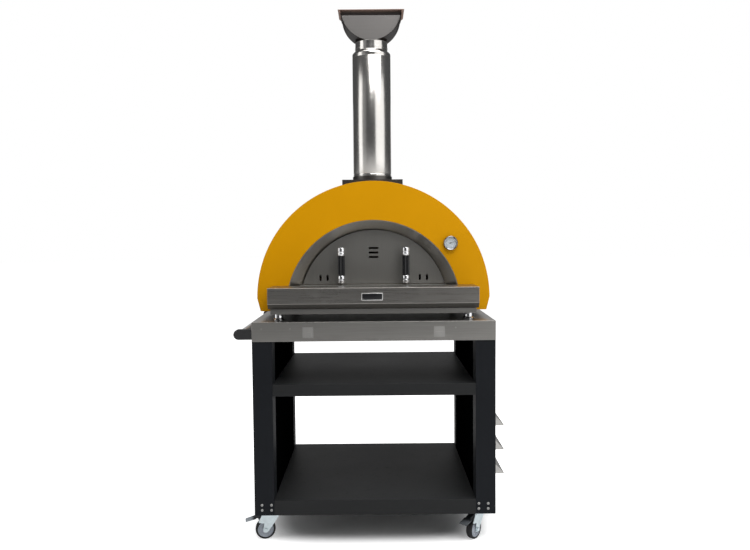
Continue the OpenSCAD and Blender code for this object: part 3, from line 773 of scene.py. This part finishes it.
finished(pipe, "double_wall_pipe", "root", pipe_steel, ("flue_pipe",))
collar_steel = brushed("collar_steel", (0.1, 0.094, 0.088), "X", 0.3)
eased("flue_collar", 1.5 * millimetre, collar_steel, 3)


def smoked_steel(name, neck_z, roof_z):
    """The cap's steel: polished up to the trough, smoked dark on the trough, and tinted brown at the roof."""
    finish = Finish(name, Specular_IOR_Level=0.03)
    height = finish.axis("Z")
    soot = finish.noise(22.0, 5.0, (1, 1, 2.5), 0.65)
    trough = finish.ramp(height, neck_z - 0.002, neck_z + 0.002)
    roof = finish.ramp(height + soot * 0.008, roof_z, roof_z + 0.006)
    smoked = finish.mix(soot, (0.006, 0.005, 0.004), (0.025, 0.02, 0.018))
    tinted = finish.mix(soot, (0.17, 0.105, 0.082), (0.32, 0.215, 0.175))
    tone = finish.mix(trough, (0.63, 0.61, 0.58), smoked)
    tone = finish.mix(roof, tone, tinted)
    finish.bump(soot, 0.1, 0.0008)
    rough = 0.14 + trough * 0.2 + soot * 0.08
    return finish.surface(Base_Color=tone, Metallic=1.0 - trough * 0.85, Roughness=rough)


roof_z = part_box("flue_cap")[1].z
eased("flue_cap", 0.7 * millimetre, smoked_steel("cap_steel", roof_z - 0.128, roof_z - 0.012))
plate_grey = brushed("cap_plate_steel", (0.16, 0.153, 0.148), "X", 0.36, 0.2, 0.3)
eased("cap_plates", 0.6 * millimetre, plate_grey)


# ---------------------------------------------------------------- Studio
# A pale seamless floor under a wide overhead light, with tall soft lights on both sides, and a camera at
# about chest height in front of the mouth.

def studio_floor():
    """A wide white floor; away from the oven it is lifted to the white of the backdrop."""
    finish = Finish("studio_floor", Specular_IOR_Level=0.0, Emission_Strength=1.0)
    cloud = finish.noise(1.5, 2.0)
    tone = finish.mix(cloud, (0.84, 0.84, 0.84), (0.86, 0.86, 0.86))
    across, along = finish.axis("X") / 0.58, (finish.axis("Y") - 0.05) / 0.52
    away = (across ** 4 + along ** 4) ** 0.25
    seen = finish.node("ShaderNodeLightPath", {}, {})
    lift = finish.mix(finish.ramp(away, 0.65, 1.12) * seen, (0.0, 0.0, 0.0), (1.0, 1.0, 1.0))
    bm = bmesh.new()
    bmesh.ops.create_circle(bm, cap_ends=True, radius=40.0, segments=96)
    mesh = bpy.data.meshes.new("studio_floor")
    bm.to_mesh(mesh)
    bm.free()
    mesh.materials.append(finish.surface(Base_Color=tone, Roughness=0.9 + cloud * 0.05, Emission_Color=lift))
    floor = bpy.data.objects.new("studio_floor", mesh)
    bpy.context.scene.collection.objects.link(floor)


studio_floor()


def soft_light(name, azimuth, distance, height, size, radiance):
    """A rectangular soft light, its azimuth in degrees; low ones stand upright, high ones tip down."""
    turn = math.radians(azimuth)
    place = Vector((math.sin(turn) * distance, -math.cos(turn) * distance, height))
    target = Vector((0, 0, height if height < 2.5 else 1.4))
    lamp = bpy.data.lights.new(name, "AREA")
    lamp.shape = "RECTANGLE"
    lamp.size = size[0]
    lamp.size_y = size[1]
    lamp.energy = radiance * math.pi * size[0] * size[1]
    light = bpy.data.objects.new(name, lamp)
    light.location = place
    light.rotation_euler = (target - place).to_track_quat("-Z", "Y").to_euler()
    bpy.context.scene.collection.objects.link(light)


soft_light("right_bank", 50, 4.2, 2.2, (4.6, 4.2), 1.4)
soft_light("left_strip", -71, 4.2, 2.2, (1.9, 4.2), 1.6)
soft_light("left_fill", -45, 4.2, 2.2, (1.5, 4.2), 0.2)
soft_light("front_key", 22, 3.0, 4.7, (4.2, 2.4), 6.4)
soft_light("overhead", 0, 0.1, 4.8, (3.0, 3.0), 4.0)
soft_light("backdrop_glow", 180, 4.5, 1.6, (5.0, 2.4), 0.5)

world = bpy.data.worlds.new("studio")
bpy.context.scene.world = world
world.use_nodes = True
room = world.node_tree.nodes["Background"]
backdrop = world.node_tree.nodes.new("ShaderNodeBackground")
ray = world.node_tree.nodes.new("ShaderNodeLightPath")
mixer = world.node_tree.nodes.new("ShaderNodeMixShader")
room.inputs["Color"].default_value = (0.95, 0.97, 1.0, 1.0)
room.inputs["Strength"].default_value = 0.09
backdrop.inputs["Color"].default_value = (1.0, 1.0, 1.0, 1.0)
backdrop.inputs["Strength"].default_value = 1.0
world.node_tree.links.new(ray.outputs["Is Camera Ray"], mixer.inputs[0])
world.node_tree.links.new(room.outputs[0], mixer.inputs[1])
world.node_tree.links.new(backdrop.outputs[0], mixer.inputs[2])
world.node_tree.links.new(mixer.outputs[0], world.node_tree.nodes["World Output"].inputs["Surface"])

camera_distance = 2.896
camera_height = 1.281
camera_offset = 0.0076
down_tilt = 3.05
lean = -0.5
lens = bpy.data.cameras.new("camera")
lens.sensor_width = 36.0
lens.lens = 34.18
camera = bpy.data.objects.new("camera", lens)
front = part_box("counter")[0].y
tripod = Matrix.Translation((camera_offset, front - camera_distance, camera_height))
tilt = Matrix.Rotation(math.radians(90 - down_tilt), 4, "X") @ Matrix.Rotation(math.radians(lean), 4, "Z")
camera.matrix_world = tripod @ tilt
bpy.context.scene.collection.objects.link(camera)
bpy.context.scene.camera = camera
bpy.context.scene.view_settings.view_transform = "Standard"
